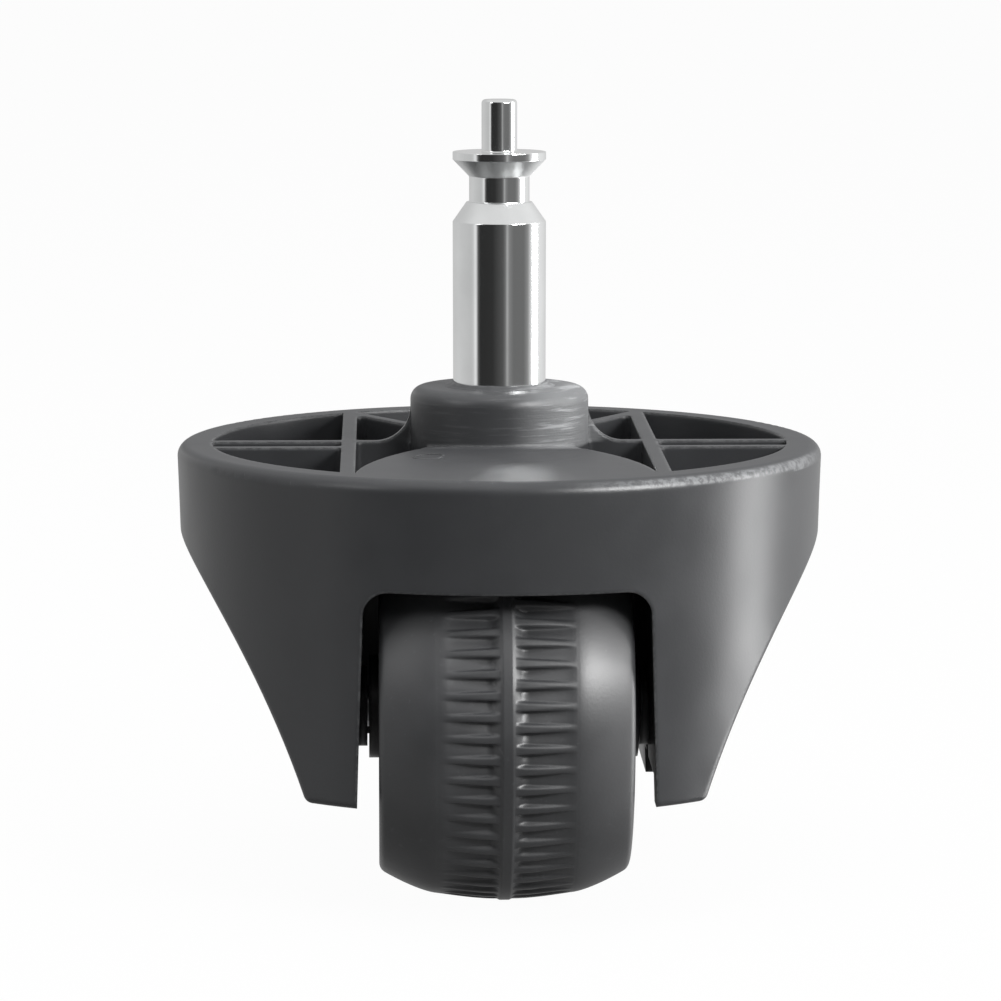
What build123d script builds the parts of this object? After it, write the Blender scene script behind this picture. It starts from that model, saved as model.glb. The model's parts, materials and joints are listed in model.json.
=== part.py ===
from build123d import *
import math
import os

os.makedirs("parts", exist_ok=True)

# Frame: origin on the stem axis at the top face of the hub, +Z up, the wheel towards -Y, millimetres

# Stem: one turned steel piece
STEM_D = 7.1
STEM_BODY_H = 12.55
SHOULDER_H = 1.5
SHOULDER_TOP_D = 5.0
NECK_D = 4.6
NECK_H = 1.93
HEAD_CONE_H = 1.29
HEAD_BAND_H = 0.58
PIN_D = 2.7
PIN_H = 3.95
PIN_EDGE = 0.2
ROOT_D = 6.4
ROOT_DEPTH = 6.5
ROOT_GROOVE_DEPTH = 0.5
ROOT_GROOVE_W = 1.4
ROOT_GROOVE_TOP = 2.6

# Fork: hub, rim and outer body
HUB_D = 13.6
HUB_EDGE_R = 1.0
HUB_H = 4.25
RIM_D = 49.2
RIM_W = 2.64
RIM_EDGE_R = 0.9
WALL_DRAFT = 1.8
CORE_DRAFT = 1.5
BODY_H = 24.4
WAIST_DROP = 6.36
WAIST_SAG = 0.92
WAIST_EDGE_R = 0.6
FOOT_W = 29.26
FOOT_EDGE_R = 0.75
SKIN = 1.7

# Fork: wheel well and front cut-out
WELL_GAP = 1.3
WELL_SHELL = 1.15
FRONT_WALL = 1.3
BACK_WALL = 1.6
BACK_WALL_LIFT = 0.65
CUT_DROP = 8.2
CUT_W = 20.8
CUT_EDGE_R = 1.9
CUT_DRAFT = 1.75
CUT_FOOT_R = 0.85

# Fork: ribs, cover plate and dome in front of the hub
CROSS_RIB_IN = 10.95
CROSS_RIB_T = 1.1
RIB_T = 0.9
MAIN_RIB_Y = 0.1
SECOND_RIB_Y = -3.6
RIB_FLARE_R = 2.7
RIB_CORNER_R = 0.4
PLATE_BACK_Y = -5.2
PLATE_BACK_HALF = 6.3
PLATE_BULGE = 0.9
DOME_H = 0.35
DOME_R = 6.4
DOME_Y = -7.0

# Axle and its seats
AXLE_Y = -10.46
AXLE_DROP = 22.92
AXLE_D = 3.0
AXLE_EDGE = 0.3
ENTRY_W = 2.5
COLLAR_D = 6.1
NOTCH_H = 2.05
NOTCH_FRONT_WALL = 3.0

# Wheel
WHEEL_D = 29.0
WHEEL_W = 18.6
BORE_PLAY = 0.05
SIDE_PLAY = 0.12
BOSS_D = 7.7
BOSS_REACH = 0.72
TYRE_T = 3.7
CORE_RIM_T = 1.6
CORE_WEB_T = 4.0
CORE_INSET = 0.45
KEY_W = 6.0
KEY_H = 0.8

# Tyre
TYRE_RIB_W = 1.15
TYRE_RIB_H = 0.1
CROWN_HALF = 5.1
CROWN_DROP = 0.46
BAND_STEP = 0.08
SHOULDER_DROP = 1.5
SHOULDER_SAG = 0.17
TYRE_CORNER_R = 0.6
SIDE_LEAN = 0.15
TREAD_TURN = 5.0
GROOVES = 57
GROOVE_DEPTH = 0.42
GROOVE_END_GAP = 0.25
GROOVE_IN_W = 0.75
GROOVE_OUT_W = 0.95

# Heights and radii that follow from the sizes above
RIM_Z = -HUB_H
FOOT_Z = RIM_Z - BODY_H
WAIST_Z = RIM_Z - WAIST_DROP
CUT_Z = RIM_Z - CUT_DROP
AXLE_Z = -AXLE_DROP
RIM_R = RIM_D / 2
POCKET_R = RIM_R - RIM_W
HUB_R = HUB_D / 2
WHEEL_R = WHEEL_D / 2
WELL_R = WHEEL_R + WELL_GAP
BACK_WALL_Y = AXLE_Y + WELL_R
SIDE_WALL_OUT = CROSS_RIB_IN + CROSS_RIB_T
BACK_RIB_ANGLE = math.degrees(math.asin((CROSS_RIB_IN + SIDE_WALL_OUT) / 2 / POCKET_R))
NOTCH_FRONT_Y = -math.sqrt(RIM_R**2 - SIDE_WALL_OUT**2) + NOTCH_FRONT_WALL
BOSS_END = WHEEL_W / 2 + BOSS_REACH
COLLAR_END = BOSS_END + SIDE_PLAY
BEYOND = RIM_R + 10
AXLE_LINE = Axis((0, AXLE_Y, AXLE_Z), (1, 0, 0))
AXLE_SECTION = Plane((0, AXLE_Y, AXLE_Z), x_dir=(1, 0, 0), z_dir=(0, -1, 0))


def cut_half_width(z):
    """Half the width of the wheel well at a height, wider towards the foot."""
    return CUT_W / 2 + (CUT_Z - z) * math.tan(math.radians(CUT_DRAFT))


def drafted_disc(radius, draft):
    """Half section of a disc that narrows from the rim down to the feet."""
    with BuildSketch(Plane.XZ) as section:
        with BuildLine():
            Polyline(
                (0, RIM_Z),
                (radius, RIM_Z),
                (radius - BODY_H * math.tan(math.radians(draft)), FOOT_Z),
                (0, FOOT_Z),
                (0, RIM_Z),
            )
        make_face()
    return section.sketch


def front_view():
    """Outline of the body seen from the front: a full disc above, a hollow waist down to the feet."""
    with BuildSketch(Plane.XZ) as view:
        with BuildLine():
            Line((0, BEYOND), (BEYOND, BEYOND))
            Line((BEYOND, BEYOND), (BEYOND, WAIST_Z))
            Line((BEYOND, WAIST_Z), (RIM_R, WAIST_Z))
            SagittaArc((RIM_R, WAIST_Z), (FOOT_W / 2, FOOT_Z), -WAIST_SAG)
            Line((FOOT_W / 2, FOOT_Z), (0, FOOT_Z))
            Line((0, FOOT_Z), (0, BEYOND))
        make_face()
        fillet(view.vertices().filter_by_position(Axis.X, FOOT_W / 2 - 1, FOOT_W / 2 + 1), FOOT_EDGE_R)
        mirror(about=Plane.YZ)
    return view.sketch


def side_view():
    """Outline of the body seen from the side: upright in front, a hollow slope behind the well."""
    foot_y = BACK_WALL_Y + BACK_WALL
    with BuildSketch(Plane.YZ) as view:
        with BuildLine():
            Line((-BEYOND, BEYOND), (BEYOND, BEYOND))
            Line((BEYOND, BEYOND), (BEYOND, WAIST_Z))
            Line((BEYOND, WAIST_Z), (RIM_R, WAIST_Z))
            SagittaArc((RIM_R, WAIST_Z), (foot_y, FOOT_Z), -WAIST_SAG)
            Line((foot_y, FOOT_Z), (-BEYOND, FOOT_Z))
            Line((-BEYOND, FOOT_Z), (-BEYOND, BEYOND))
        make_face()
    return view.sketch


def well_side_view(margin):
    """Side view of the wheel well: round over the wheel, upright behind it and in front of it."""
    radius = WELL_R + margin
    front_y = AXLE_Y - math.sqrt(radius**2 - (CUT_Z - AXLE_Z) ** 2)
    floor_z = FOOT_Z - BODY_H
    with BuildSketch(Plane.YZ) as view:
        with BuildLine():
            ThreePointArc((front_y, CUT_Z), (AXLE_Y, AXLE_Z + radius), (AXLE_Y + radius, AXLE_Z))
            Polyline((AXLE_Y + radius, AXLE_Z), (AXLE_Y + radius, floor_z), (front_y, floor_z), (front_y, CUT_Z))
        make_face()
    return view.sketch


def plate_plan():
    """Plan of the solid cover plate from the hub to the front rim, with bulging sides."""
    front_y = -math.sqrt(POCKET_R**2 - CROSS_RIB_IN**2)
    middle = ((PLATE_BACK_HALF + CROSS_RIB_IN) / 2 + PLATE_BULGE, (PLATE_BACK_Y + front_y) / 2)
    with BuildSketch() as plan:
        with BuildLine():
            Line((0, -BEYOND), (CROSS_RIB_IN, -BEYOND))
            Line((CROSS_RIB_IN, -BEYOND), (CROSS_RIB_IN, front_y))
            ThreePointArc((CROSS_RIB_IN, front_y), middle, (PLATE_BACK_HALF, PLATE_BACK_Y))
            Polyline((PLATE_BACK_HALF, PLATE_BACK_Y), (0, 0), (0, -BEYOND))
        make_face()
        mirror(about=Plane.YZ)
    return plan.sketch


def rib_plan():
    """Plan of the thin ribs that run from the hub."""
    with BuildSketch() as plan:
        with Locations((0, MAIN_RIB_Y)):
            Rectangle(2 * BEYOND, RIB_T)
        for angle in (-BACK_RIB_ANGLE, BACK_RIB_ANGLE):
            Rectangle(RIB_T, POCKET_R, rotation=angle, align=(Align.CENTER, Align.MIN))
    return plan.sketch


# Stem: the body stands on the hub and its thinner grooved root is moulded in
groove_foot = -ROOT_GROOVE_TOP - ROOT_GROOVE_W
shoulder_top = STEM_BODY_H + SHOULDER_H
neck_top = shoulder_top + NECK_H
band_foot = neck_top + HEAD_CONE_H
band_top = band_foot + HEAD_BAND_H
with BuildPart() as stem:
    with BuildSketch(Plane.XZ):
        with BuildLine():
            Polyline(
                (0, -ROOT_DEPTH),
                (ROOT_D / 2, -ROOT_DEPTH),
                (ROOT_D / 2, groove_foot),
                (ROOT_D / 2 - ROOT_GROOVE_DEPTH, groove_foot),
                (ROOT_D / 2 - ROOT_GROOVE_DEPTH, -ROOT_GROOVE_TOP),
                (ROOT_D / 2, -ROOT_GROOVE_TOP),
                (ROOT_D / 2, 0),
                (STEM_D / 2, 0),
                (STEM_D / 2, STEM_BODY_H),
                (SHOULDER_TOP_D / 2, shoulder_top),
                (NECK_D / 2, shoulder_top),
                (NECK_D / 2, neck_top),
                (STEM_D / 2, band_foot),
                (STEM_D / 2, band_top),
                (PIN_D / 2, band_top),
                (PIN_D / 2, band_top + PIN_H - PIN_EDGE),
                (PIN_D / 2 - PIN_EDGE, band_top + PIN_H),
                (0, band_top + PIN_H),
                (0, -ROOT_DEPTH),
            )
        make_face()
    revolve(axis=Axis.Z)
stem.part.label = "stem"
export_step(stem.part, "parts/stem.step")

# Hollow space between the rim, the hub, the ribs and the wheel well, cut from the fork later
with BuildPart() as pockets:
    revolve(drafted_disc(POCKET_R, CORE_DRAFT), axis=Axis.Z)
    for outer_view in (front_view(), side_view()):
        inner_view = offset(outer_view, -SKIN, kind=Kind.INTERSECTION, mode=Mode.PRIVATE)
        extrude(inner_view, BEYOND, both=True, mode=Mode.INTERSECT)
    extrude(well_side_view(WELL_SHELL), SIDE_WALL_OUT, both=True, mode=Mode.SUBTRACT)
    with BuildSketch(Plane.XY.offset(RIM_Z)):
        Circle(HUB_R)
        add(rib_plan())
        add(plate_plan())
        for side in (-1, 1):
            with Locations((side * (CROSS_RIB_IN + SIDE_WALL_OUT) / 2, 0)):
                Rectangle(CROSS_RIB_T, 2 * BEYOND)
            with Locations((side * (SIDE_WALL_OUT + BEYOND) / 2, SECOND_RIB_Y)):
                Rectangle(BEYOND - SIDE_WALL_OUT, RIB_T)
    extrude(amount=-2 * BODY_H, mode=Mode.SUBTRACT)
    fillet(pockets.edges().filter_by(Axis.Z).filter_by(lambda e: e.length > 1), RIB_CORNER_R)

# Concave rise of the ribs up the side of the hub
with BuildPart() as rib_flares:
    with BuildSketch(Plane.XZ):
        with BuildLine():
            RadiusArc((HUB_R, RIM_Z + RIB_FLARE_R), (HUB_R + RIB_FLARE_R, RIM_Z), -RIB_FLARE_R)
            Polyline(
                (HUB_R + RIB_FLARE_R, RIM_Z),
                (HUB_R + RIB_FLARE_R, RIM_Z - RIB_T),
                (HUB_R - RIB_T, RIM_Z - RIB_T),
                (HUB_R - RIB_T, RIM_Z + RIB_FLARE_R),
                (HUB_R, RIM_Z + RIB_FLARE_R),
            )
        make_face()
    revolve(axis=Axis.Z)
    extrude(rib_plan(), 2 * BODY_H, both=True, mode=Mode.INTERSECT)

# Shallow dome of the cover plate in front of the hub
with BuildPart() as dome:
    with BuildSketch(Plane((0, DOME_Y, RIM_Z), x_dir=(1, 0, 0), z_dir=(0, -1, 0))):
        with BuildLine():
            Polyline((0, DOME_H), (0, -DOME_H), (DOME_R, -DOME_H), (DOME_R, 0))
            RadiusArc((DOME_R, 0), (0, DOME_H), -(DOME_R**2 + DOME_H**2) / (2 * DOME_H))
        make_face()
    revolve(axis=Axis((0, DOME_Y, 0), (0, 0, 1)))

# Wheel well with the front cut-out
with BuildPart() as well:
    extrude(well_side_view(0), BEYOND, both=True)
    with BuildSketch(Plane.XZ):
        with BuildLine():
            Polyline(
                (0, RIM_Z),
                (cut_half_width(RIM_Z), RIM_Z),
                (cut_half_width(FOOT_Z - BODY_H), FOOT_Z - BODY_H),
                (0, FOOT_Z - BODY_H),
                (0, RIM_Z),
            )
        make_face()
        mirror(about=Plane.YZ)
    extrude(amount=BEYOND, both=True, mode=Mode.INTERSECT)
    with BuildSketch(Plane.XY.offset(RIM_Z)):
        Circle(RIM_R - FRONT_WALL)
    extrude(amount=-2 * BODY_H, mode=Mode.INTERSECT)
    with BuildSketch(Plane.XZ.offset(-AXLE_Y)) as cut_out:
        with BuildLine():
            Polyline(
                (0, CUT_Z),
                (cut_half_width(CUT_Z), CUT_Z),
                (cut_half_width(FOOT_Z), FOOT_Z),
                (FOOT_W / 2, FOOT_Z),
                (FOOT_W / 2, FOOT_Z - BODY_H),
                (0, FOOT_Z - BODY_H),
                (0, CUT_Z),
            )
        make_face()
        corners = cut_out.vertices().sort_by(Axis.Y)
        fillet(corners[-2:].sort_by(Axis.X)[-1], CUT_EDGE_R)
        fillet(corners[2:4].sort_by(Axis.X)[0], CUT_FOOT_R)
        mirror(about=Plane.YZ)
    extrude(amount=BEYOND)

# Fork
with BuildPart() as fork:
    revolve(drafted_disc(RIM_R, WALL_DRAFT), axis=Axis.Z)
    extrude(front_view(), BEYOND, both=True, mode=Mode.INTERSECT)
    extrude(side_view(), BEYOND, both=True, mode=Mode.INTERSECT)
    waist_edges = fork.edges().filter_by_position(Axis.Z, FOOT_Z, RIM_Z, (False, False))
    fillet(waist_edges.filter_by(GeomType.LINE, reverse=True), WAIST_EDGE_R)
    fillet(fork.edges().group_by(Axis.Z)[-1], RIM_EDGE_R)
    add(pockets.part, mode=Mode.SUBTRACT)
    with BuildSketch(Plane.XY.offset(RIM_Z)):
        Circle(HUB_R)
    extrude(amount=HUB_H)
    fillet(fork.faces().sort_by(Axis.Z)[-1].edges(), HUB_EDGE_R)
    add(rib_flares.part)
    add(dome.part)
    add(well.part, mode=Mode.SUBTRACT)
    add(stem.part, mode=Mode.SUBTRACT)
    # Collars round the axle on the inner walls
    for side in (-1, 1):
        with BuildSketch(Plane((side * COLLAR_END, AXLE_Y, AXLE_Z), x_dir=(0, 1, 0), z_dir=(side, 0, 0))):
            Circle(COLLAR_D / 2)
        extrude(amount=CROSS_RIB_IN - COLLAR_END)
    # Notches in front of the axle, its bore and entry slot, and the raised foot of the back wall
    with BuildSketch(Plane.YZ):
        with Locations(((NOTCH_FRONT_Y + AXLE_Y + COLLAR_D / 2) / 2, FOOT_Z + NOTCH_H)):
            Rectangle(AXLE_Y + COLLAR_D / 2 - NOTCH_FRONT_Y, BODY_H, align=(Align.CENTER, Align.MAX))
        with Locations((AXLE_Y, AXLE_Z)):
            Rectangle(ENTRY_W, BODY_H, align=(Align.CENTER, Align.MAX))
            Circle(AXLE_D / 2)
        with Locations((BACK_WALL_Y, FOOT_Z + BACK_WALL_LIFT)):
            Rectangle(2 * BACK_WALL, BODY_H, align=(Align.MIN, Align.MAX))
    extrude(amount=SIDE_WALL_OUT, both=True, mode=Mode.SUBTRACT)
fork.part.label = "fork"
export_step(fork.part, "parts/fork.step")

# Axle pin
with BuildPart() as axle:
    with BuildSketch(AXLE_SECTION):
        Rectangle(2 * SIDE_WALL_OUT, AXLE_D / 2, align=(Align.CENTER, Align.MIN))
    revolve(axis=AXLE_LINE)
    chamfer(axle.edges().filter_by(GeomType.CIRCLE), AXLE_EDGE)
axle.part.label = "axle"
export_step(axle.part, "parts/axle.step")

# Wheel core: hub with end bosses, web and rim in one moulding
core_r = WHEEL_R - TYRE_T
core_half = WHEEL_W / 2 - CORE_INSET
with BuildPart() as wheel_core:
    with BuildSketch(AXLE_SECTION):
        with BuildLine():
            Polyline(
                (0, AXLE_D / 2 + BORE_PLAY),
                (BOSS_END, AXLE_D / 2 + BORE_PLAY),
                (BOSS_END, BOSS_D / 2),
                (CORE_WEB_T / 2, BOSS_D / 2),
                (CORE_WEB_T / 2, core_r - CORE_RIM_T),
                (core_half, core_r - CORE_RIM_T),
                (core_half, core_r),
                (KEY_W / 2, core_r),
                (KEY_W / 2, core_r + KEY_H),
                (0, core_r + KEY_H),
                (0, AXLE_D / 2 + BORE_PLAY),
            )
        make_face()
        mirror(about=Plane.YZ)
    revolve(axis=AXLE_LINE)
wheel_core.part.label = "wheel_core"
export_step(wheel_core.part, "parts/wheel_core.step")

# One groove of the tread beside the middle rib, wider towards the shoulder
rib_half = TYRE_RIB_W / 2
crown_r = WHEEL_R - TYRE_RIB_H
groove_floor = crown_r - GROOVE_DEPTH
with BuildPart() as groove:
    with BuildSketch(Plane((0, AXLE_Y, AXLE_Z + groove_floor))):
        with BuildLine():
            Polyline(
                (rib_half, GROOVE_IN_W / 2),
                (CROWN_HALF - GROOVE_END_GAP, GROOVE_OUT_W / 2),
                (CROWN_HALF - GROOVE_END_GAP, -GROOVE_OUT_W / 2),
                (rib_half, -GROOVE_IN_W / 2),
                (rib_half, GROOVE_IN_W / 2),
            )
        make_face()
    extrude(amount=crown_r)

# Tyre with a rounded crown, a middle rib and staggered grooves on both sides of it
band_edge_r = crown_r - CROWN_DROP
shoulder_r = band_edge_r - BAND_STEP
corner_x = WHEEL_W / 2 - TYRE_CORNER_R
corner_r = shoulder_r - SHOULDER_DROP
with BuildPart() as tyre:
    with BuildSketch(AXLE_SECTION):
        with BuildLine():
            Polyline(
                (0, core_r + KEY_H),
                (0, WHEEL_R),
                (rib_half, WHEEL_R),
                (rib_half, crown_r),
                (CROWN_HALF, band_edge_r),
                (CROWN_HALF, shoulder_r),
            )
            SagittaArc((CROWN_HALF, shoulder_r), (corner_x, corner_r), SHOULDER_SAG)
            Polyline(
                (corner_x, corner_r),
                (WHEEL_W / 2, corner_r - TYRE_CORNER_R),
                (WHEEL_W / 2 - SIDE_LEAN, core_r),
                (KEY_W / 2, core_r),
                (KEY_W / 2, core_r + KEY_H),
                (0, core_r + KEY_H),
            )
        make_face()
        mirror(about=Plane.YZ)
    revolve(axis=AXLE_LINE)
    pitch = 360 / GROOVES
    grooves = []
    for k in range(GROOVES):
        turn = TREAD_TURN + k * pitch
        grooves.append(groove.part.rotate(AXLE_LINE, turn))
        grooves.append(groove.part.mirror(Plane.YZ).rotate(AXLE_LINE, turn + pitch / 2))
    add(grooves, mode=Mode.SUBTRACT)
tyre.part.label = "tyre"
export_step(tyre.part, "parts/tyre.step")
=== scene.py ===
import json
import math

import bmesh
import bpy
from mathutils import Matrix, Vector


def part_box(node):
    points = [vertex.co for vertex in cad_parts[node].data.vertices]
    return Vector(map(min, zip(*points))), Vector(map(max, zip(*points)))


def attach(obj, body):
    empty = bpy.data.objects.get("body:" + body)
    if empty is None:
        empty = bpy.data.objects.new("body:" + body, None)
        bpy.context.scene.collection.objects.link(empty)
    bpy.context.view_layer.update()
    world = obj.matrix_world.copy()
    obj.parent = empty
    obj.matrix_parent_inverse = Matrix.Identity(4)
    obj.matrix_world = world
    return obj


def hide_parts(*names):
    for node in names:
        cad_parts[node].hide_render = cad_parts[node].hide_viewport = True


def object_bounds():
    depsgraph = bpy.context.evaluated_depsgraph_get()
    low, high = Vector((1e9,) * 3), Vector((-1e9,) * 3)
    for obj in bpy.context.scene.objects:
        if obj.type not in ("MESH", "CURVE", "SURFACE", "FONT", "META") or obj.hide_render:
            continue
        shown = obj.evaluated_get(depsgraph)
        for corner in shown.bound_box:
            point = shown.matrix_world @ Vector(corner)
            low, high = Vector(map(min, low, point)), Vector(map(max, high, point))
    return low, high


# Lengths are written in millimetres and turned into the frame's metres here
MM = 0.001

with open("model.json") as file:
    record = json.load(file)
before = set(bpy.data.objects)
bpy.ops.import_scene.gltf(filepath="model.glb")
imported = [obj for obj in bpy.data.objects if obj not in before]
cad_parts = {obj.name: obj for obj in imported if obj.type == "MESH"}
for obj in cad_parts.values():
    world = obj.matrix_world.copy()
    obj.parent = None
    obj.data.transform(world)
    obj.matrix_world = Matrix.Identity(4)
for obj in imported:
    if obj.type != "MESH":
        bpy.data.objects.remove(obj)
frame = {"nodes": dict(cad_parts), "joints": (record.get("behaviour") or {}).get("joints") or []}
cad_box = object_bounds()

# Camera, fitted to the photograph's rim, stem, feet and wheel
VIEW_AZIMUTH = -1.519
VIEW_ELEVATION = 7.83
VIEW_DISTANCE = 352.575
VIEW_TARGET = (0, 0, -8.887)
LENS = 165.39
SENSOR = 36.0
SHIFT_X = 0.0012
CLIP_START = 10.0

# Outlines: about how many degrees one step of an arc turns, how long a straight run is before it gets extra
# points, and how far from its ends they lie
ARC_STEP = 12
LONG_RUN = 0.3
RUN_INSET = 0.04

# Small step that keeps an outline off the axis, or two of its corners apart
TINY = 0.02

# Stem, as in the solid but with the turned piece's small edge roundings
STEM_R = 3.55
STEM_BODY_H = 12.55
STEM_SEGMENTS = 160
ROOT_R = 3.2
ROOT_EDGE = 0.15
SHOULDER_H = 1.5
SHOULDER_TOP_R = 2.5
NECK_R = 2.3
NECK_H = 1.93
NECK_TOP = STEM_BODY_H + SHOULDER_H + NECK_H
HEAD_CONE_H = 1.29
HEAD_BAND_H = 0.58
HEAD_EDGE = 0.06
PIN_R = 1.35
PIN_H = 3.95
PIN_FOOT_R = 0.1
PIN_EDGE = 0.28
STEM_EDGE = 0.12
NECK_FOOT_R = 0.05
NECK_ROOT = 0.22

# Tyre section, from its middle outwards
TYRE_R = 14.5
TYRE_HALF = 9.3
TYRE_BORE_R = 10.8
KEY_R = 11.6
KEY_HALF = 3.0
RIB_HALF = 0.575
RIB_EDGE = 0.24
RIB_H = 0.1
BAND_HALF = 5.1
BAND_BLEND = 0.15
CROWN_DROP = 0.46
CROWN_END = 8.67
SHOULDER_DROP = 1.55
SHOULDER_CURVE = 1.38
CORNER_REACH = 0.42
SHOULDER_END = TYRE_HALF - CORNER_REACH
SLOPE_STEP = 0.05
CORNER_STEPS = 6

# Rounded edge of the tyre's bore, as distances in from its side and out from the bore
BORE_EDGE = ((0.03, 0.3), (0.1, 0.12), (0.22, 0))

# Tread: bars on each side of the middle rib. Places round the wheel are counted in bar pitches, and a flank
# runs between two distances from the bar's middle, counted in the bar's half width
BARS = 57
TREAD_TURN = 0.29
BAR_HALF_SHARE = 0.27
BAR_TAPER = 0.35
BAR_LOWER_FLANK = (0.6, 1.0)
BAR_UPPER_FLANK = (0.55, 1.2)
BAR_STEPS = (0, 0.09, 0.15, 0.19, 0.23, 0.27, 0.31, 0.35, 0.41)

# Grooves between the bars: how deep, how much their floor rises towards the next bar, how they start beside
# the rib and fade outwards, and how far out they reach on the right and on the left
GROOVE_DEPTH = 0.6
GROOVE_RISE = 0.34
GROOVE_RAMP = 0.16
RAMP_CURVE = 1.4
GROOVE_FADE = 0.7
GROOVE_ENDS = {1: 4.85, -1: 4.5}

# Painted shade in the grooves, darkening their floors: its strength, and the radii and distances across
# between which it sets in
GROOVE_PAINTED_SHADE = 0.7
PAINTED_SHADE_R = (TYRE_R - 0.5, TYRE_R - 0.9)
PAINTED_SHADE_ACROSS = (4.3, 3.6)

# Fork
HUB_R = 6.8
RIM_Z = -4.25
DOME_Y = -7.0
DOME_R = 6.4
DOME_H = 0.35

# Lip of plastic at the stem's foot: its section as radius, height and rounding, and the waves of its edge as
# size, number round the stem and start
LIP_R = 4.05
LIP_H = 0.3
LIP_SECTION = (
    (STEM_R - 0.12, -0.25, 0),
    (LIP_R + 0.25, -0.25, 0),
    (LIP_R + 0.22, 0, 0.05),
    (LIP_R - 0.2, 0.1, 0.12),
    (STEM_R + 0.06, LIP_H, 0.05),
    (STEM_R - 0.12, LIP_H, 0),
)
LIP_WAVES = ((0.05, 3, 0.6), (0.03, 7, 2.1), (0.018, 17, 0.0))
LIP_WAVE_RISE = 1.6
LIP_SEGMENTS = 144

# Ring left by an ejector pin, with its section as distances out from MARK_R and up from the plate
MARK_PLACE = (-5.6, -9.9)
MARK_R = 1.15
MARK_SECTION = ((-0.13, -0.05), (-0.13, 0.025), (-0.07, 0.045), (0.02, 0.045), (0.1, 0.015), (0.16, -0.05))
MARK_SEGMENTS = 64

# Places where the fork is painted lighter: round the hub, by scuffing and painted highlight, and along the
# rim's right front, by painted highlight
HUB_SCUFF_AND_HIGHLIGHT_R = (HUB_R + 1.5, HUB_R + 0.4)
HUB_SCUFF_AND_HIGHLIGHT_Z = (RIM_Z - 0.2, RIM_Z + 0.1)
HUB_SCUFF_AND_HIGHLIGHT_X = (0.2, 4.6)
RIM_HIGHLIGHT_R = (22.8, 23.6)
RIM_HIGHLIGHT_Z = (RIM_Z - 2.2, RIM_Z - 0.8)
RIM_HIGHLIGHT_X = (3, 13)
RIM_HIGHLIGHT_Y = (-3, -12)

# How far the rounded edge at the rim's right front is lightened towards the worn colour, as a painted
# highlight
RIM_PAINTED_HIGHLIGHT = 0.34

# Faces that look up are moulded a little rougher than the walls
TOP_ROUGHER = 0.17

# Cosines of the angle between a face and its softened normal, where an edge starts to be worn and where the
# wear is full
FLAT_COSINE = 0.985
EDGE_COSINE = 0.86

# Colours of the plastics, the rubber and the metals, and how rough the metals are
FORK_GREY = (0.02, 0.0206, 0.0219)
# The fork's second colour is both worn plastic and the painted highlights on the hub and at the rim's right
FORK_WORN_AND_HIGHLIGHT = (0.26, 0.265, 0.27)
CORE_GREY = (0.03, 0.03, 0.031)
CORE_WORN = (0.1, 0.1, 0.1)
RUBBER_GREY = (0.0195, 0.02, 0.0212)
STEM_METAL = (0.8, 0.81, 0.81)
AXLE_METAL = (0.55, 0.56, 0.57)
STEM_ROUGH = 0.1
AXLE_ROUGH = 0.24

# Stretch of the tool marks on turned steel along their rings
ALONG_RING = 0.02

# Cones of the stem, which the tool left coarser: lowest height, highest height and extra roughness
COARSE_CONES = (
    (STEM_BODY_H, STEM_BODY_H + SHOULDER_H, 0.12),
    (NECK_TOP, NECK_TOP + HEAD_CONE_H, 0.3),
)

# Softboxes, all aimed at LAMP_TARGET: azimuth and elevation in degrees, distance, width and height in metres,
# power in watts, and whether reflections show the lamp
LAMP_TARGET = (0, 0, -15)
LAMPS = {
    "key_right": (98, -4, 0.62, 0.18, 0.7, 4.4, True),
    "key_front": (53, 24, 0.6, 0.28, 0.15, 3.3, True),
    "key_low": (38, 26, 0.6, 0.13, 0.1, 2.0, True),
    "top_soft": (0, 82, 0.55, 0.6, 0.55, 8.0, False),
    "fill_left": (-56, 28, 0.7, 0.16, 0.2, 0.45, True),
}

# The studio as reflections see it: levels by azimuth, which is 0 at the camera's side and 90 at the object's
# right, and the levels below and above. ROOM_LIGHT is what it adds to matt surfaces
ROOM_LEVELS = (
    (-180, 0.6), (-125, 0.7), (-76, 0.6), (-69, 0.66), (-65, 0.9), (-61, 0.9), (-56, 0.12), (-50, 0.03),
    (-18, 0.035), (8, 0.1), (14, 0.2), (18, 0.5), (23, 0.26), (34, 0.17), (62, 0.17), (74, 0.3),
    (88, 1.0), (130, 0.9), (180, 0.6),
)
ROOM_BELOW = (0.27, 0.27, 0.27)
ROOM_ABOVE = (0.85, 0.85, 0.85)
ROOM_LIGHT = (0.18, 0.18, 0.183)
WHITE = (1.0, 1.0, 1.0)

# Floor, wide enough that its edge stays outside the view. The camera sees it as plain white by the share
# FLOOR_GLOW, and the rest is lit by the lamps
FLOOR_R = 4000
FLOOR_THICK = 1.98
FLOOR_GAP = 0.02
FLOOR_SEGMENTS = 96
FLOOR_GREY = 0.3
FLOOR_GLOW = 0.97


def smooth(low, high, value):
    """0 below low, 1 above high, and an even ramp with soft ends between them."""
    t = min(max((value - low) / (high - low), 0.0), 1.0)
    return t * t * (3 - 2 * t)


def angles(count):
    """Evenly spaced angles of one full turn."""
    return [2 * math.pi * k / count for k in range(count)]


def direction(azimuth, elevation):
    """Direction from the object; azimuth 0 is its front and 90 its right."""
    a, e = math.radians(azimuth), math.radians(elevation)
    return Vector((math.sin(a) * math.cos(e), -math.cos(a) * math.cos(e), math.sin(e)))


def supported(points):
    """The same outline with extra points on its long straight runs, which keep them straight when shaded."""
    full = [points[0]]
    for low, high in zip(points, points[1:]):
        run = high - low
        if run.length > LONG_RUN:
            inset = run.normalized() * RUN_INSET
            full += [low + inset, (low + high) / 2, high - inset]
        full.append(high)
    return full


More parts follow.
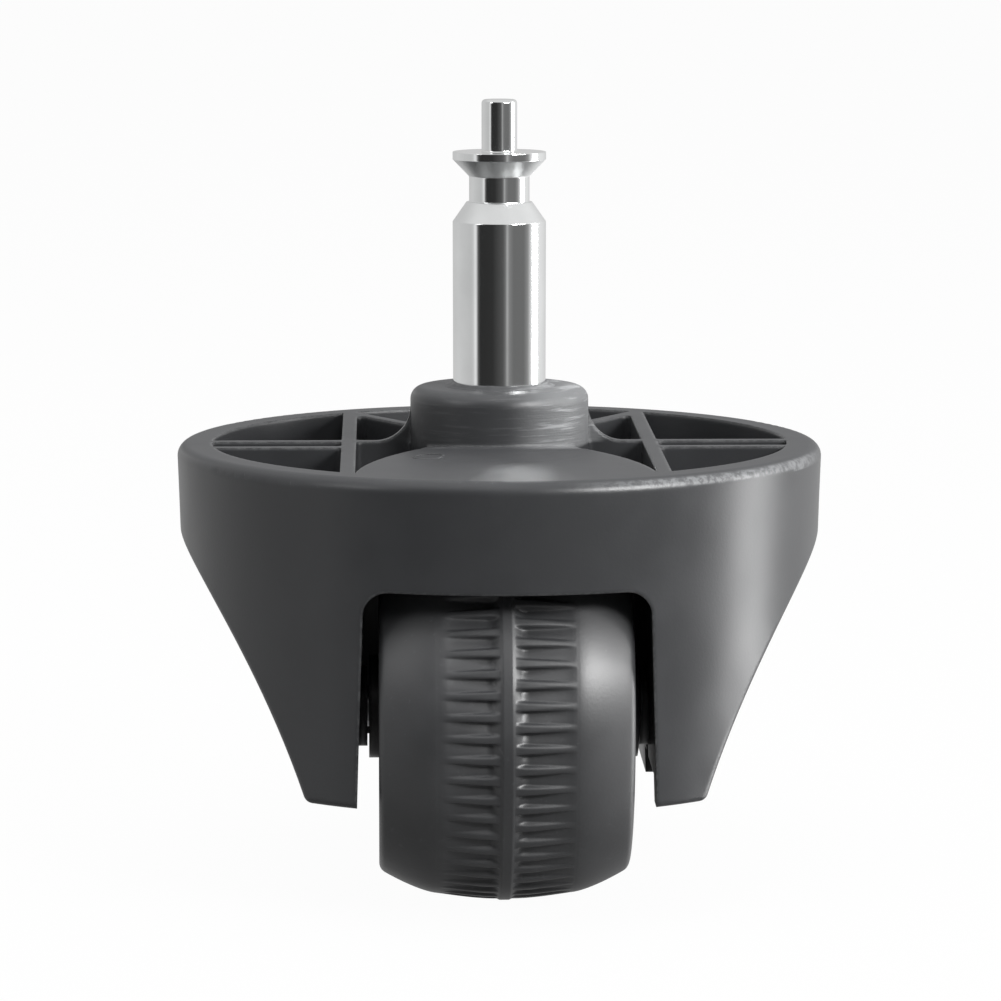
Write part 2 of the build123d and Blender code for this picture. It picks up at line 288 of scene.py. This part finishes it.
def rounded(corners):
    """Outline through (radius, height, rounding) corners, each rounded by an arc."""
    points = []
    for k, (r, z, rounding) in enumerate(corners):
        here = Vector((r, z))
        if rounding == 0 or k in (0, len(corners) - 1):
            points.append(here)
            continue
        before = (Vector(corners[k - 1][:2]) - here).normalized()
        after = (Vector(corners[k + 1][:2]) - here).normalized()
        half = before.angle(after) / 2
        reach = rounding / math.tan(half)
        centre = here + (before + after).normalized() * (rounding / math.sin(half))
        start = here + before * reach - centre
        turn = start.angle_signed(here + after * reach - centre)
        steps = max(2, round(abs(turn) / math.radians(ARC_STEP)))
        for n in range(steps + 1):
            a = turn * n / steps
            spoke = Vector((
                start.x * math.cos(a) + start.y * math.sin(a),
                start.y * math.cos(a) - start.x * math.sin(a),
            ))
            points.append(centre + spoke)
    return supported(points)


def ring_mesh(name, rows, closed=False):
    """Mesh over rows of points, each row once round; the first and last row are capped unless closed."""
    mesh = bmesh.new()
    verts = [[mesh.verts.new(Vector(p) * MM) for p in row] for row in rows]
    pairs = list(zip(verts, verts[1:]))
    if closed:
        pairs.append((verts[-1], verts[0]))
    for low, high in pairs:
        n = len(low)
        for k in range(n):
            mesh.faces.new((low[k], low[(k + 1) % n], high[(k + 1) % n], high[k]))
    if not closed:
        mesh.faces.new(reversed(verts[0]))
        mesh.faces.new(verts[-1])
    bmesh.ops.recalc_face_normals(mesh, faces=mesh.faces)
    for face in mesh.faces:
        face.smooth = True
    data = bpy.data.meshes.new(name)
    mesh.to_mesh(data)
    mesh.free()
    piece = bpy.data.objects.new(name, data)
    bpy.context.scene.collection.objects.link(piece)
    return piece


def finish_piece(piece, material, body):
    """Gives a piece its material and body."""
    piece.data.materials.append(material)
    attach(piece, body)


def shade(colour, factor):
    """A colour made lighter or darker by a factor."""
    return tuple(c * factor for c in colour)


class Nodes:
    """Short helper for building one node tree."""

    def __init__(self, tree):
        self.tree = tree

    def add(self, kind, **settings):
        node = self.tree.nodes.new(kind)
        for key, value in settings.items():
            setattr(node, key, value)
        return node

    def link(self, source, target):
        self.tree.links.new(source, target)

    def place(self):
        """Place on the object, in metres."""
        return self.add("ShaderNodeTexCoord").outputs["Object"]

    def normal(self, kind):
        """Normal or True Normal of the surface."""
        return self.add("ShaderNodeNewGeometry").outputs[kind]

    def parts(self, vector):
        """The x, y and z of a vector."""
        node = self.add("ShaderNodeSeparateXYZ")
        self.link(vector, node.inputs[0])
        return node.outputs

    def math(self, operation, first, second=0.0):
        node = self.add("ShaderNodeMath", operation=operation)
        for socket, value in zip(node.inputs, (first, second)):
            if isinstance(value, (int, float)):
                socket.default_value = value
            else:
                self.link(value, socket)
        return node.outputs[0]

    def product(self, first, *others):
        for other in others:
            first = self.math("MULTIPLY", first, other)
        return first

    def total(self, first, second):
        return self.math("ADD", first, second)

    def from_axis(self, first, second):
        """Distance from an axis, from the two coordinates across it."""
        return self.math("SQRT", self.total(self.product(first, first), self.product(second, second)))

    def span(self, value, low, high, new_low=0, new_high=1):
        """Soft ramp from new_low at low to new_high at high."""
        node = self.add("ShaderNodeMapRange", interpolation_type="SMOOTHSTEP")
        for socket, number in zip(node.inputs[1:5], (low, high, new_low, new_high)):
            socket.default_value = number
        self.link(value, node.inputs[0])
        return node.outputs[0]

    def span_mm(self, value, limits, new_low=0, new_high=1):
        """Soft ramp between two places given in millimetres."""
        low, high = limits
        return self.span(value, low * MM, high * MM, new_low, new_high)

    def noise(self, place, scale, detail=3.0, stretch=(1, 1, 1), roughness=0.5):
        mapping = self.add("ShaderNodeMapping")
        mapping.inputs["Scale"].default_value = stretch
        self.link(place, mapping.inputs["Vector"])
        node = self.add("ShaderNodeTexNoise")
        node.inputs["Scale"].default_value = scale
        node.inputs["Detail"].default_value = detail
        node.inputs["Roughness"].default_value = roughness
        self.link(mapping.outputs[0], node.inputs["Vector"])
        return node.outputs[0]

    def mix(self, amount, first, second):
        """Colour that goes from first at 0 to second at 1."""
        node = self.add("ShaderNodeMix", data_type="RGBA")
        self.link(amount, node.inputs[0])
        for socket, value in ((node.inputs[6], first), (node.inputs[7], second)):
            if isinstance(value, tuple):
                socket.default_value = (*value, 1)
            else:
                self.link(value, socket)
        return node.outputs[2]

    def bump(self, height, strength, distance, normal=None):
        """Normal raised by a height, with the distance in millimetres."""
        node = self.add("ShaderNodeBump")
        node.inputs["Strength"].default_value = strength
        node.inputs["Distance"].default_value = distance * MM
        self.link(height, node.inputs["Height"])
        if normal is not None:
            self.link(normal, node.inputs["Normal"])
        return node.outputs[0]


def new_material(name, **values):
    """Principled material with constants set on the shader's own sockets."""
    material = bpy.data.materials.new(name)
    material.use_nodes = True
    shader = material.node_tree.nodes["Principled BSDF"]
    for key, value in values.items():
        shader.inputs[key.replace("_", " ")].default_value = value
    return material, Nodes(material.node_tree), shader


def edge_wear(nodes, radius):
    """Two outputs: how close the surface is to a sharp edge, and the normal softened over the edge."""
    bevel = nodes.add("ShaderNodeBevel", samples=6)
    bevel.inputs["Radius"].default_value = radius * MM
    dot = nodes.add("ShaderNodeVectorMath", operation="DOT_PRODUCT")
    nodes.link(bevel.outputs[0], dot.inputs[0])
    nodes.link(nodes.normal("True Normal"), dot.inputs[1])
    return nodes.span(dot.outputs["Value"], FLAT_COSINE, EDGE_COSINE), bevel.outputs[0]


def hub_scuff_and_highlight(nodes, x, z, radius):
    """How much the hub is scuffed and lightened: all round it above the plate, and mostly on its right, where
    the lightening is painted highlight.
    """
    near_hub = nodes.span_mm(radius, HUB_SCUFF_AND_HIGHLIGHT_R)
    above_plate = nodes.span_mm(z, HUB_SCUFF_AND_HIGHLIGHT_Z)
    return nodes.product(near_hub, above_plate, nodes.span_mm(x, HUB_SCUFF_AND_HIGHLIGHT_X, 0.1, 1))


def plastic_wear_and_highlight(nodes, place, radius, edge, up):
    """Wear of the edges, made lighter at the rim's right by painted highlight, with a painted highlight on
    the rounded edge at its right front.
    """
    x, y, z = nodes.parts(place)
    speck = nodes.noise(place, scale=2300, detail=2, roughness=0.7)
    rim = nodes.product(nodes.span_mm(z, RIM_HIGHLIGHT_Z), nodes.span_mm(radius, RIM_HIGHLIGHT_R))
    rim_right_highlight = nodes.product(rim, nodes.span_mm(x, RIM_HIGHLIGHT_X))
    edges = nodes.product(edge, nodes.span(speck, 0.38, 0.66, 0.15, 1))
    # Painted highlight: edges at the rim's right are lightened more, where the lamps on the right fall
    edges = nodes.product(edges, nodes.total(nodes.product(rim_right_highlight, 0.6), 0.16))
    round_edge = nodes.product(nodes.span(up, 0.05, 0.3), nodes.span(up, 0.93, 0.7))
    # Painted highlight along the rounded edge at the rim's right front
    front_right = nodes.product(rim_right_highlight, nodes.span_mm(y, RIM_HIGHLIGHT_Y))
    painted_edge_highlight = nodes.product(round_edge, front_right, nodes.span(speck, 0.36, 0.6, 0.3, 1))
    return nodes.math("MAXIMUM", edges, nodes.product(painted_edge_highlight, RIM_PAINTED_HIGHLIGHT))


def plastic(name, colour, worn_and_highlight_colour):
    """Satin moulded plastic: fine spark texture, flow mottling, worn edges, a scuffed hub painted lighter on
    its right as highlight, and a painted highlight on the rim's right front edge.
    """
    material, nodes, shader = new_material(name, IOR=1.5, Specular_IOR_Level=0.42)
    place = nodes.place()
    x, y, z = nodes.parts(place)
    radius = nodes.from_axis(x, y)
    up = nodes.parts(nodes.normal("Normal"))[2]
    fine = nodes.noise(place, scale=5200)
    flow = nodes.noise(place, scale=190, detail=4)
    edge, soft_normal = edge_wear(nodes, radius=0.42)
    wear_and_highlight = plastic_wear_and_highlight(nodes, place, radius, edge, up)

    scuff_and_highlight = hub_scuff_and_highlight(nodes, x, z, radius)
    streaks = nodes.noise(place, scale=260, detail=5, stretch=(1, 1, 13), roughness=0.62)
    streak = nodes.product(nodes.span(streaks, 0.5, 0.68), scuff_and_highlight)
    glints = nodes.noise(place, scale=1500, detail=2, stretch=(1, 1, 2.4))
    glint = nodes.product(nodes.span(glints, 0.6, 0.7), streak)

    base = nodes.mix(nodes.span(flow, 0.35, 0.65), colour, shade(colour, 1.1))
    # Edges go to the worn colour: real wear all over, with painted highlight at the rim's right
    base = nodes.mix(wear_and_highlight, base, worn_and_highlight_colour)
    # The hub's lighter colour: real scuff streaks, and painted highlight that is strongest on its right half,
    # where the lamps fall
    base = nodes.mix(nodes.product(scuff_and_highlight, 0.28), base, worn_and_highlight_colour)
    base = nodes.mix(nodes.product(streak, 0.6), base, worn_and_highlight_colour)
    nodes.link(base, shader.inputs["Base Color"])

    rough = nodes.span(flow, 0.3, 0.7, 0.32, 0.36)
    rough = nodes.total(rough, nodes.product(scuff_and_highlight, 0.16))
    rough = nodes.total(rough, nodes.span(up, 0.6, 0.9, 0, TOP_ROUGHER))
    rough = nodes.math("SUBTRACT", rough, nodes.product(glint, 0.2))
    nodes.link(rough, shader.inputs["Roughness"])

    normal = nodes.bump(fine, strength=0.1, distance=0.05, normal=soft_normal)
    normal = nodes.bump(flow, strength=0.06, distance=0.06, normal=normal)
    normal = nodes.bump(nodes.product(streaks, scuff_and_highlight), strength=0.35, distance=0.12, normal=normal)
    nodes.link(normal, shader.inputs["Normal"])
    return material


def rubber(name, colour, centre):
    """Matt moulded rubber with a fine grain, a little dust, painted shade in its grooves and worn, lighter
    edges.
    """
    material, nodes, shader = new_material(name, IOR=1.5, Specular_IOR_Level=0.62)
    place = nodes.place()
    fine = nodes.noise(place, scale=4200, detail=4)
    cloud = nodes.noise(place, scale=150, detail=4)
    speck = nodes.noise(place, scale=1500, detail=2, roughness=0.7)
    base = nodes.mix(nodes.span(cloud, 0.3, 0.7), colour, shade(colour, 1.25))
    dust = nodes.product(nodes.span(speck, 0.64, 0.76), 0.35)
    base = nodes.mix(dust, base, shade(colour, 2.4))

    x, y, z = nodes.parts(place)
    y = nodes.math("SUBTRACT", y, centre[1] * MM)
    z = nodes.math("SUBTRACT", z, centre[2] * MM)
    # Painted shade: the groove floors, below the plain tread, are darkened towards a fifth of the rubber's
    # colour
    low = nodes.span_mm(nodes.from_axis(y, z), PAINTED_SHADE_R, 0, GROOVE_PAINTED_SHADE)
    painted_shade_band = nodes.span_mm(nodes.math("ABSOLUTE", x), PAINTED_SHADE_ACROSS)
    base = nodes.mix(nodes.product(low, painted_shade_band), base, shade(colour, 0.2))

    edge, soft_normal = edge_wear(nodes, radius=0.15)
    base = nodes.mix(nodes.product(edge, 0.15), base, shade(colour, 2.6))
    nodes.link(base, shader.inputs["Base Color"])
    nodes.link(nodes.span(cloud, 0.3, 0.7, 0.41, 0.5), shader.inputs["Roughness"])
    normal = nodes.bump(fine, strength=0.12, distance=0.05, normal=soft_normal)
    normal = nodes.bump(cloud, strength=0.15, distance=0.05, normal=normal)
    nodes.link(normal, shader.inputs["Normal"])
    return material


def turned_steel(name, colour, roughness, tool_stretch, coarse=()):
    """Bright turned steel: faint tool rings, a few scratches, uneven polish and coarser stretches."""
    material, nodes, shader = new_material(name, Metallic=1.0)
    place = nodes.place()
    tool = nodes.noise(place, scale=9000, detail=2, stretch=tool_stretch)
    haze = nodes.noise(place, scale=240, detail=4)
    scratch = nodes.noise(place, scale=900, stretch=(3, 3, 0.35), roughness=0.6)
    scratched = nodes.span(scratch, 0.66, 0.72)
    base = nodes.mix(nodes.span(haze, 0.35, 0.7), colour, shade(colour, 0.93))
    base = nodes.mix(nodes.product(scratched, 0.12), base, shade(colour, 0.7))
    nodes.link(base, shader.inputs["Base Color"])

    rough = nodes.span(haze, 0.3, 0.7, roughness * 0.8, roughness * 1.25)
    rough = nodes.total(rough, nodes.product(scratched, 0.05))
    height = nodes.parts(place)[2]
    for low, high, extra in coarse:
        above = nodes.math("GREATER_THAN", height, low * MM)
        below = nodes.math("LESS_THAN", height, high * MM)
        rough = nodes.total(rough, nodes.product(above, below, extra))
    nodes.link(rough, shader.inputs["Roughness"])
    nodes.link(nodes.bump(tool, strength=0.03, distance=0.02), shader.inputs["Normal"])
    return material


def make_stem(material):
    """Turned stem with rounded edges, from the hidden root to the top of the pin."""
    low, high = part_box("stem")
    root = low.z / MM
    shoulder = STEM_BODY_H + SHOULDER_H
    band_foot = NECK_TOP + HEAD_CONE_H
    band = band_foot + HEAD_BAND_H
    outline = rounded((
        (TINY, root, 0),
        (ROOT_R, root, ROOT_EDGE),
        (ROOT_R, -TINY, 0),
        (STEM_R - TINY, -TINY, 0),
        (STEM_R, STEM_BODY_H, STEM_EDGE),
        (SHOULDER_TOP_R, shoulder, STEM_EDGE),
        (NECK_R, shoulder + TINY, NECK_FOOT_R),
        (NECK_R, NECK_TOP, NECK_ROOT),
        (STEM_R, band_foot, HEAD_EDGE),
        (STEM_R, band, HEAD_EDGE),
        (PIN_R, band, PIN_FOOT_R),
        (PIN_R, band + PIN_H, PIN_EDGE),
        (TINY, band + PIN_H, 0),
    ))
    turns = angles(STEM_SEGMENTS)
    rows = [[(p.x * math.cos(a), p.x * math.sin(a), p.y) for a in turns] for p in outline]
    piece = ring_mesh("stem_turned", rows)
    finish_piece(piece, material, "fork_body")
    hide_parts("stem")


def tread_steps():
    """Distances across the tyre at which its section is sampled, from the middle to one side."""
    stretches = (
        (RIB_HALF - RIB_EDGE, RIB_HALF, 4),
        (RIB_HALF, BAND_HALF - BAND_BLEND, 13),
        (BAND_HALF - BAND_BLEND, BAND_HALF + BAND_BLEND, 4),
        (BAND_HALF + BAND_BLEND, SHOULDER_END, 11),
    )
    steps = [0, RIB_HALF / 2, RIB_HALF - RIB_EDGE]
    for low, high, count in stretches:
        steps += [low + (high - low) * k / count for k in range(1, count + 1)]
    return steps


def section_radius(across):
    """Radius of the tyre without its grooves at a distance from the middle."""
    crown = TYRE_R - RIB_H
    crowned = smooth(RIB_HALF, CROWN_END, across) / smooth(RIB_HALF, CROWN_END, BAND_HALF)
    radius = crown - CROWN_DROP * crowned
    if across > BAND_HALF:
        part = (across - BAND_HALF) / (SHOULDER_END - BAND_HALF)
        radius = crown - CROWN_DROP - SHOULDER_DROP * part**SHOULDER_CURVE
    return radius + RIB_H * (1 - smooth(RIB_HALF - RIB_EDGE, RIB_HALF, across))


def groove_depth(across, end, bar_place):
    """Depth of a groove: it starts beside the middle rib, lies between the bars and fades out at its end."""
    out = (across - RIB_HALF) / (end - RIB_HALF)
    if out <= 0 or out >= 1:
        return 0.0
    place = bar_place % 1
    from_bar = (0.5 - abs(place - 0.5)) / (BAR_HALF_SHARE * (1 - BAR_TAPER * out))
    flank = BAR_LOWER_FLANK if place < 0.5 else BAR_UPPER_FLANK
    rise = GROOVE_RISE * smooth(BAR_HALF_SHARE, 1 - BAR_HALF_SHARE, place)
    ramp = 1 - (1 - min(out / GROOVE_RAMP, 1.0)) ** RAMP_CURVE
    return GROOVE_DEPTH * smooth(*flank, from_bar) * (1 - rise) * (1 - out) ** GROOVE_FADE * ramp


def tyre_wall():
    """Distances across and radii from the shoulder's rounded corner down the side, the bore and the key."""
    edge_r = section_radius(SHOULDER_END)
    lean = math.atan((section_radius(SHOULDER_END - SLOPE_STEP) - edge_r) / SLOPE_STEP)
    rounding = (TYRE_HALF - SHOULDER_END) / (1 - math.sin(lean))
    wall = []
    for k in range(1, CORNER_STEPS + 1):
        a = lean + (math.pi / 2 - lean) * k / CORNER_STEPS
        across = SHOULDER_END + rounding * (math.sin(a) - math.sin(lean))
        wall.append((across, edge_r - rounding * (math.cos(lean) - math.cos(a))))
    wall += [(TYRE_HALF - inward, TYRE_BORE_R + outward) for inward, outward in BORE_EDGE]
    return wall + [(KEY_HALF, TYRE_BORE_R), (KEY_HALF, KEY_R)]


def make_tyre(material, centre):
    """Tyre with a middle rib, staggered tapering bars on both sides of it and smooth round shoulders."""
    cx, cy, cz = centre
    places = [bar + half + step for bar in range(BARS) for half in (0, 0.5) for step in BAR_STEPS]
    turns = [2 * math.pi * (place - TREAD_TURN) / BARS for place in places]

    def row(across, radii):
        return [(cx + across, cy - r * math.sin(a), cz + r * math.cos(a)) for r, a in zip(radii, turns)]

    def tread_row(side, across):
        stagger = 0.5 if side < 0 else 0
        plain = section_radius(across)
        depths = [groove_depth(across, GROOVE_ENDS[side], place + stagger) for place in places]
        return row(side * across, [plain - depth for depth in depths])

    steps = tread_steps()
    wall = tyre_wall()
    rows = [row(-across, [r] * len(turns)) for across, r in reversed(wall)]
    rows += [tread_row(-1, across) for across in reversed(steps[1:])]
    rows += [tread_row(1, across) for across in steps]
    rows += [row(across, [r] * len(turns)) for across, r in wall]
    piece = ring_mesh("tyre_tread", rows, closed=True)
    finish_piece(piece, material, "wheel")
    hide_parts("tyre")


def make_lip(material):
    """Plastic that crept a little way up the stem's foot when the hub was moulded round it."""
    rows = []
    for p in rounded(LIP_SECTION):
        row = []
        for a in angles(LIP_SEGMENTS):
            wave = sum(size * math.sin(count * a + start) for size, count, start in LIP_WAVES)
            r = p.x + (wave if p.x > STEM_R else 0)
            z = p.y * (1 + LIP_WAVE_RISE * wave) if p.y > 0 else p.y
            row.append((r * math.cos(a), r * math.sin(a), z))
        rows.append(row)
    piece = ring_mesh("stem_lip", rows, closed=True)
    finish_piece(piece, material, "fork_body")


def make_ejector_mark(material):
    """Faint ring that an ejector pin left on the domed cover plate."""
    x0, y0 = MARK_PLACE
    rows = []
    for out, up in MARK_SECTION:
        row = []
        for a in angles(MARK_SEGMENTS):
            x = x0 + (MARK_R + out) * math.cos(a)
            y = y0 + (MARK_R + out) * math.sin(a)
            from_dome = (x**2 + (y - DOME_Y) ** 2) / DOME_R**2
            row.append((x, y, RIM_Z + up + DOME_H * max(0.0, 1 - from_dome)))
        rows.append(row)
    piece = ring_mesh("ejector_mark", rows, closed=True)
    finish_piece(piece, material, "fork_body")


def make_lamp(name, azimuth, elevation, distance, width, height, power, reflected):
    """Softbox turned to the object."""
    data = bpy.data.lights.new(name, "AREA")
    data.shape = "RECTANGLE"
    data.size = width
    data.size_y = height
    data.energy = power
    lamp = bpy.data.objects.new(name, data)
    bpy.context.scene.collection.objects.link(lamp)
    back = direction(azimuth, elevation)
    lamp.location = Vector(LAMP_TARGET) * MM + back * distance
    lamp.rotation_euler = back.to_track_quat("Z", "Y").to_euler()
    lamp.visible_glossy = reflected


def make_world():
    """White to the camera; reflections see a light room behind, a dim one in front and a pale ceiling."""
    world = bpy.data.worlds.new("studio")
    bpy.context.scene.world = world
    world.use_nodes = True
    world.cycles.sampling_method = "NONE"
    nodes = Nodes(world.node_tree)
    path = nodes.add("ShaderNodeLightPath").outputs
    x, y, z = nodes.parts(nodes.add("ShaderNodeTexCoord").outputs["Generated"])
    turn = nodes.math("ARCTAN2", x, nodes.product(y, -1.0))
    ramp = nodes.add("ShaderNodeValToRGB")
    nodes.link(nodes.total(nodes.math("DIVIDE", turn, 2 * math.pi), 0.5), ramp.inputs[0])
    elements = ramp.color_ramp.elements
    while len(elements) < len(ROOM_LEVELS):
        elements.new(0.5)
    for element, (azimuth, _) in zip(elements, ROOM_LEVELS):
        element.position = azimuth / 360 + 0.5
    for element, (_, level) in zip(elements, ROOM_LEVELS):
        element.color = (level, level, level, 1)
    seen = nodes.mix(nodes.span(z, -0.45, -0.75), ramp.outputs["Color"], ROOM_BELOW)
    seen = nodes.mix(nodes.span(z, 0.5, 0.8), seen, ROOM_ABOVE)
    lit = nodes.mix(path["Is Glossy Ray"], ROOM_LIGHT, seen)
    through = nodes.math("MAXIMUM", path["Is Camera Ray"], path["Is Transmission Ray"])
    background = world.node_tree.nodes["Background"]
    nodes.link(nodes.mix(through, lit, WHITE), background.inputs["Color"])


def make_floor(low):
    """Pale floor just under the wheel, which the camera sees as the white backdrop."""
    top = low / MM - FLOOR_GAP
    floor = ring_mesh("floor", [
        [(FLOOR_R * math.cos(a), FLOOR_R * math.sin(a), z) for a in angles(FLOOR_SEGMENTS)]
        for z in (top - FLOOR_THICK, top)
    ])
    for face in floor.data.polygons:
        face.use_smooth = False
    grey = (FLOOR_GREY, FLOOR_GREY, FLOOR_GREY, 1)
    material, nodes, shader = new_material("backdrop", Roughness=0.9, Base_Color=grey)
    glow = nodes.add("ShaderNodeEmission")
    path = nodes.add("ShaderNodeLightPath").outputs
    seen = nodes.math("MAXIMUM", path["Is Camera Ray"], path["Is Transmission Ray"])
    mixed = nodes.add("ShaderNodeMixShader")
    nodes.link(nodes.product(seen, FLOOR_GLOW), mixed.inputs[0])
    nodes.link(shader.outputs[0], mixed.inputs[1])
    nodes.link(glow.outputs[0], mixed.inputs[2])
    nodes.link(mixed.outputs[0], material.node_tree.nodes["Material Output"].inputs[0])
    floor.data.materials.append(material)
    floor.visible_glossy = False
    floor.visible_shadow = False


def make_camera():
    """Camera at the photograph's angle and distance."""
    data = bpy.data.cameras.new("camera")
    data.sensor_width = SENSOR
    data.lens = LENS
    data.shift_x = SHIFT_X
    data.clip_start = CLIP_START * MM
    camera = bpy.data.objects.new("camera", data)
    bpy.context.scene.collection.objects.link(camera)
    back = direction(VIEW_AZIMUTH, VIEW_ELEVATION)
    camera.location = (Vector(VIEW_TARGET) + back * VIEW_DISTANCE) * MM
    camera.rotation_euler = back.to_track_quat("Z", "Y").to_euler()
    bpy.context.scene.camera = camera


def dress(node, material):
    """Gives a CAD node its material."""
    data = frame["nodes"][node].data
    data.materials.clear()
    data.materials.append(material)


wheel_centre = [v / MM for v in frame["joints"][0]["pos_m"]]
fork_plastic = plastic("fork_plastic", FORK_GREY, FORK_WORN_AND_HIGHLIGHT)
core_plastic = plastic("core_plastic", CORE_GREY, CORE_WORN)
tyre_rubber = rubber("tyre_rubber", RUBBER_GREY, wheel_centre)
stem_steel = turned_steel("stem_steel", STEM_METAL, STEM_ROUGH, (ALONG_RING, ALONG_RING, 1), COARSE_CONES)
axle_steel = turned_steel("axle_steel", AXLE_METAL, AXLE_ROUGH, (1, ALONG_RING, ALONG_RING))

dress("fork", fork_plastic)
dress("wheel_core", core_plastic)
dress("axle", axle_steel)

make_stem(stem_steel)
make_tyre(tyre_rubber, wheel_centre)
make_lip(fork_plastic)
make_ejector_mark(fork_plastic)

make_camera()
make_world()
make_floor(cad_box[0].z)
for name, settings in LAMPS.items():
    make_lamp(name, *settings)
bpy.context.scene.view_settings.view_transform = "Standard"
